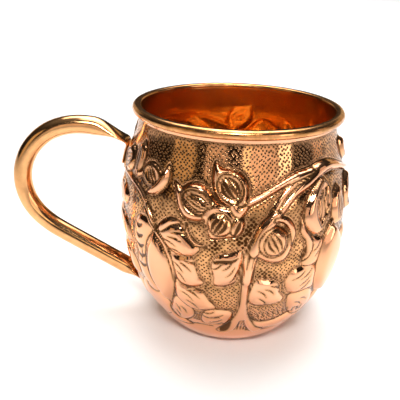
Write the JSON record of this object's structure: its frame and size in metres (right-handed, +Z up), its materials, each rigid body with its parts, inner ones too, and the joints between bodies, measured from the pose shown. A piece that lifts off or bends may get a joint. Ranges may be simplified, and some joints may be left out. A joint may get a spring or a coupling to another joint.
{
  "type": "copper mug",
  "caption": "Barrel-shaped copper mug with a wired rolled rim, a round foot and a looped tube handle brazed to the wall.",
  "frame": {"origin": "centre of the base's flat resting face, on the cup's axis", "axes": "+Z up along the cup's axis, -X towards the handle, Y across the handle's middle plane"},
  "size_m": [0.1399, 0.0932, 0.094],
  "materials": {
    "copper_body": "polished copper with dark patina in the chased lines and punched ground",
    "copper_handle": "polished copper tube",
    "rim_steel": "drawn wire, hidden inside the rolled rim",
    "braze": "smooth braze fillet"
  },
  "bodies": {
    "root": {"body_shell": "copper_body", "rim_wire": "rim_steel", "handle_tube": "copper_handle", "upper_braze": "braze", "lower_braze": "braze"}
  },
  "joints": []
}
